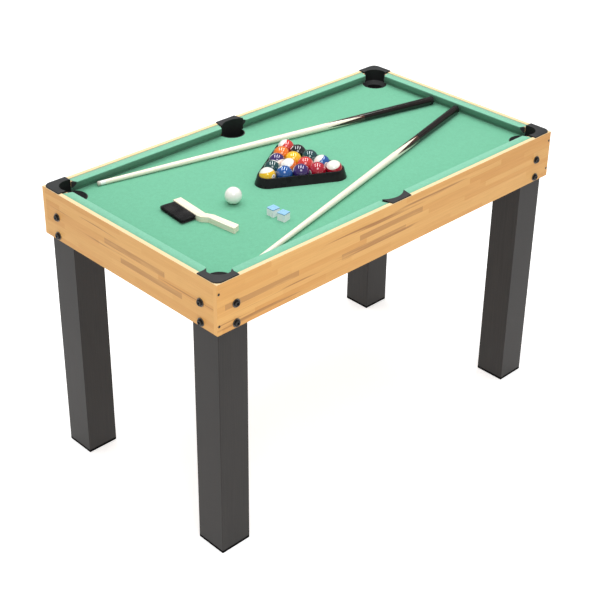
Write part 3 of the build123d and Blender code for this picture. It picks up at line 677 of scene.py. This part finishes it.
def make_rail_cloth(name, material):
    """A rail's cloth: over the top, round the nose and under the cushion, and folded over both ends."""
    side, *ends = RAILS[name]
    run, inwards, reach = SIDES[side]
    origin = Vector((0, 0, BED_TOP)) - inwards * reach
    points, outwards = eased_section()
    bm = bmesh.new()

    def place(end, kind, way, back, point):
        along = end + way * (end_cut(kind, point.x) + back - END_PROUD)
        return bm.verts.new(origin + run * along + inwards * point.x + Vector((0, 0, point.y)))

    heel = Vector((RAIL_SECTION[0][0], RAIL_SECTION[-1][1])) * MM
    halves = []
    for (end, kind), way in zip(ends, (1, -1)):
        rows = [[place(end, kind, way, back * MM, point - out * inset * MM)
                 for point, out in zip(points, outwards)] for back, inset in END_FOLD]
        fill(bm, [*rows[-1], place(end, kind, way, 0, heel)])
        halves.append(rows)
    strip(bm, [*reversed(halves[0]), *halves[1]])
    turn_up(bm)
    made = piece(f"felt_{name}", bm, material, "table")
    thicken(made, RAIL_CLOTH_THICK)
    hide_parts("rail_cloths")


make_bed_cloth(felt("Bed_felt", (0.136, 0.428, 0.269)))
# The rail felt is the bed's cloth drawn a lighter green: painted light for the brighter rail tops.
rail_felt = felt("Rail_felt", (0.200, 0.500, 0.345), painted_side_shade=0.50)
for name in RAILS:
    make_rail_cloth(name, rail_felt)


# Brush bristles -----------------------------------------------------------------------------------

BRUSH_PLACE = Vector((-0.404, 0.0235, BED_TOP))
BRUSH_TURN = math.radians(-5.6)
BRUSH_THICK = 15 * MM
BRISTLE_LENGTH = 42 * MM
BRISTLE_ROOT = 1.5 * MM          # how far a bristle goes into the wood
BRISTLE_RADIUS = 0.34 * MM
BRISTLE_SIDES = 4
BRISTLE_TAPER = ((0, 1), (0.4, 1), (0.75, 0.9), (1, 0.65))   # shares of the length and the radius
BRISTLE_TRIM = (-0.5, 1.6)       # from how much longer to how much shorter a bristle can be, in mm
BRISTLE_BOW = 0.5 * MM           # the most that a bristle's middle stands aside, each way
ROOT_SPREAD = 0.6                # a tuft's radius at its root, as a share of TUFT_RADIUS
END_SPREAD = 1.5
TUFT_RADIUS = 1.7 * MM
TUFT_BRISTLES = 15
TUFT_HEIGHTS = (3.5, 7.5, 11.5)   # above the cloth, in mm
TUFT_PITCH = 4.2 * MM
TUFT_REACH = 47.5 * MM


def add_bristle(bm, start, end, droop):
    """One tapered bristle from start to end, bent aside by droop at its middle."""
    rows = []
    for share, size in BRISTLE_TAPER:
        centre = start.lerp(end, share) + droop * math.sin(math.pi * share)
        rows.append([bm.verts.new(centre + Vector((0, math.cos(a), math.sin(a))) * BRISTLE_RADIUS * size)
                     for a in (2 * math.pi * i / BRISTLE_SIDES for i in range(BRISTLE_SIDES))])
    strip(bm, rows, closed=True)
    bm.faces.new(rows[-1])
    bm.faces.new(rows[0][::-1])


def make_bristles(material):
    """Three staggered rows of nylon tufts set into the brush's edge."""
    draw = random.Random(11)
    bm = bmesh.new()
    for row, height in enumerate(TUFT_HEIGHTS):
        across = -TUFT_REACH + TUFT_PITCH / 2 * (row % 2)
        while across <= TUFT_REACH:
            for _ in range(TUFT_BRISTLES):
                turn, out = draw.uniform(0, 2 * math.pi), math.sqrt(draw.random()) * TUFT_RADIUS
                lean = Vector((0, math.cos(turn), math.sin(turn))) * out
                tuft = Vector((0, across, height * MM))
                reach = draw.uniform(*BRISTLE_TRIM) * MM - BRISTLE_LENGTH
                start = tuft + Vector((BRISTLE_ROOT, 0, 0)) + lean * ROOT_SPREAD
                end = tuft + Vector((reach, 0, 0)) + lean * END_SPREAD
                bow = Vector((0, draw.uniform(-1, 1), draw.uniform(-1, 1))) * BRISTLE_BOW
                end.z = min(max(end.z, BRISTLE_RADIUS), BRUSH_THICK - BRISTLE_RADIUS)
                add_bristle(bm, start, end, bow)
            across += TUFT_PITCH
    bmesh.ops.recalc_face_normals(bm, faces=bm.faces)
    bm.transform(Matrix.Translation(BRUSH_PLACE) @ Matrix.Rotation(BRUSH_TURN, 4, "Z"))
    made = piece("brush_tufts", bm, material, "table_brush", sharp=60)
    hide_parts("brush_bristles")


nylon = moulded("Nylon_hair", (0.010, 0.010, 0.011), 0.36, 400, 0.00002, worn=(0.05, 0.045, 0.045))
make_bristles(nylon)


# Ball numbers -------------------------------------------------------------------------------------

DIGIT_SIZES = {1: 9.5 * MM, 2: 7.6 * MM}     # the letter height setting for one and for two digits
DIGIT_SWELL = 0.12 * MM
DIGIT_GRID = 1.0 * MM
DIGIT_PROUD = 0.03 * MM
DIGIT_THICK = 0.08 * MM


def flat_digits(text):
    """The digits as a flat mesh about the origin, cut finely enough to bend round a ball."""
    curve = bpy.data.curves.new("Digits", "FONT")
    curve.body, curve.size, curve.offset = text, DIGIT_SIZES[len(text)], DIGIT_SWELL
    curve.align_x, curve.align_y, curve.resolution_u = "CENTER", "CENTER", 5
    source = bpy.data.objects.new("Digits", curve)
    mesh = bpy.data.meshes.new_from_object(source)
    bm = bmesh.new()
    bm.from_mesh(mesh)
    bpy.data.objects.remove(source)
    bpy.data.meshes.remove(mesh)
    reach = int(max(max(abs(v.co.x), abs(v.co.y)) for v in bm.verts) / DIGIT_GRID)
    for step in range(-reach, reach + 1):
        for normal in (Vector((1, 0, 0)), Vector((0, 1, 0))):
            geometry = [*bm.verts, *bm.edges, *bm.faces]
            bmesh.ops.bisect_plane(bm, geom=geometry, plane_co=normal * step * DIGIT_GRID, plane_no=normal)
    return bm


def make_number(number, face, upwards, material):
    """A ball's number, printed in the middle of its white disc."""
    centre = ball_centre(f"ball_{number}")
    upwards = (upwards - face * upwards.dot(face)).normalized()
    right = upwards.cross(face)
    bm = flat_digits(str(number))
    for vert in bm.verts:
        way = face + right * (vert.co.x / BALL_RADIUS) + upwards * (vert.co.y / BALL_RADIUS)
        vert.co = centre + way.normalized() * (BALL_RADIUS + DIGIT_PROUD)
    made = piece(f"number_{number}", bm, material, f"ball_{number}")
    thicken(made, DIGIT_THICK)


ink = moulded("Number_ink", (0.012, 0.012, 0.014), 0.2, 900, 0.00001)
for number, (face, pole) in BALL_LIES.items():
    make_number(number, face, pole or UPWARDS, ink)


# Floor, light and camera --------------------------------------------------------------------------

FLOOR_HALF = 7


def make_floor():
    """A plain pale floor, a little luminous so that it reads as a studio sweep."""
    bm = bmesh.new()
    corners = ((-1, -1), (1, -1), (1, 1), (-1, 1))
    bm.faces.new([bm.verts.new((x * FLOOR_HALF, y * FLOOR_HALF, 0)) for x, y in corners])
    mesh = bpy.data.meshes.new("Floor")
    bm.to_mesh(mesh)
    bm.free()
    s = Surface("Floor_white", Roughness=0.9, Specular_IOR_Level=0.1)
    speck = s.noise(40, 2)
    s.set(Base_Color=s.mix(s.span(speck, 0.3, 0.7), (0.86, 0.86, 0.86), (0.90, 0.90, 0.90)),
          Emission_Color=(1.0, 1.0, 1.0), Emission_Strength=0.50)
    mesh.materials.append(s.material)
    floor = bpy.data.objects.new("Floor", mesh)
    bpy.context.scene.collection.objects.link(floor)


def add_softbox(name, place, target, long, high, watts, roll=0.0):
    """A rectangular area light aimed at a point."""
    light = bpy.data.lights.new(name, "AREA")
    light.shape, light.size, light.size_y, light.energy = "RECTANGLE", long, high, watts
    made = bpy.data.objects.new(name, light)
    aim = (Vector(target) - Vector(place)).to_track_quat("-Z", "Y").to_matrix().to_4x4()
    made.matrix_world = Matrix.Translation(place) @ aim @ Matrix.Rotation(roll, 4, "Z")
    bpy.context.scene.collection.objects.link(made)


def make_world(overhead, horizon, reflected):
    """A white sky, brightest overhead and dimmer in reflections, behind which the camera sees plain white."""
    world = bpy.data.worlds.new("Studio")
    bpy.context.scene.world = world
    world.use_nodes = True
    tree = world.node_tree
    height = tree.nodes.new("ShaderNodeSeparateXYZ")
    tree.links.new(tree.nodes.new("ShaderNodeTexCoord").outputs["Generated"], height.inputs[0])
    rise = tree.nodes.new("ShaderNodeMapRange")
    for key, value in {"From Min": 0.0, "From Max": 0.9, "To Min": horizon, "To Max": overhead}.items():
        rise.inputs[key].default_value = value
    tree.links.new(height.outputs["Z"], rise.inputs["Value"])

    sky = tree.nodes["Background"]
    reflection, backdrop = (tree.nodes.new("ShaderNodeBackground") for _ in range(2))
    for background in (sky, reflection, backdrop):
        background.inputs["Color"].default_value = (1, 1, 1, 1)
    tree.links.new(rise.outputs[0], sky.inputs["Strength"])
    reflection.inputs["Strength"].default_value = reflected

    rays = tree.nodes.new("ShaderNodeLightPath").outputs
    shader = sky
    for ray, instead in (("Is Glossy Ray", reflection), ("Is Camera Ray", backdrop)):
        mix = tree.nodes.new("ShaderNodeMixShader")
        tree.links.new(rays[ray], mix.inputs[0])
        tree.links.new(shader.outputs[0], mix.inputs[1])
        tree.links.new(instead.outputs[0], mix.inputs[2])
        shader = mix
    tree.links.new(shader.outputs[0], tree.nodes["World Output"].inputs["Surface"])


CAMERA_PLACE = (-2.2428, -2.2674, 2.3014)
CAMERA_HEADING = math.radians(45.66)         # of the view, from +X towards +Y
CAMERA_DOWN = math.radians(28.86)
CAMERA_ROLL = math.radians(0.74)
CAMERA_LENS = 80.06              # in mm, on a sensor 36 mm wide
CAMERA_SHIFT = -0.102            # upwards, as a share of the picture's width


def make_camera():
    """The camera, looking down on the table's near left corner."""
    data = bpy.data.cameras.new("Camera")
    data.lens, data.sensor_width, data.shift_y = CAMERA_LENS, 36, CAMERA_SHIFT
    camera = bpy.data.objects.new("Camera", data)
    heading = Matrix.Rotation(CAMERA_HEADING - math.pi / 2, 4, "Z")
    tilt = Matrix.Rotation(math.pi / 2 - CAMERA_DOWN, 4, "X")
    roll = Matrix.Rotation(CAMERA_ROLL, 4, "Z")
    camera.matrix_world = Matrix.Translation(CAMERA_PLACE) @ heading @ tilt @ roll
    bpy.context.scene.collection.objects.link(camera)
    bpy.context.scene.camera = camera


STRIPS_HEADING = math.radians(42)            # the way the overhead strips run
STRIPS_MIDDLE = Vector((0.35, 0.40, 2.6))
STRIP_SPACING = 0.85
STRIP_LENGTH, STRIP_WIDTH, STRIP_WATTS = 2.0, 0.16, 13


def add_overhead_strips():
    """Three narrow strip lights side by side over the table."""
    aside = Vector((-math.sin(STRIPS_HEADING), math.cos(STRIPS_HEADING), 0)) * STRIP_SPACING
    for name, steps in (("Strip_left", -1), ("Strip_middle", 0), ("Strip_right", 1)):
        place = STRIPS_MIDDLE + aside * steps
        floor = (place.x, place.y, 0)
        add_softbox(name, place, floor, STRIP_LENGTH, STRIP_WIDTH, STRIP_WATTS, STRIPS_HEADING)


make_floor()
make_world(overhead=0.94, horizon=0.16, reflected=0.25)
add_overhead_strips()
add_softbox("Fill_front", place=(-2.2, -2.6, 0.5), target=(0, 0, 0.6), long=2.2, high=0.8, watts=16)
add_softbox("Key_front", place=(-1.3, -1.5, 2.9), target=(0, 0, 0.75), long=1.2, high=1.2, watts=19)
make_camera()
bpy.context.scene.view_settings.view_transform = "Standard"
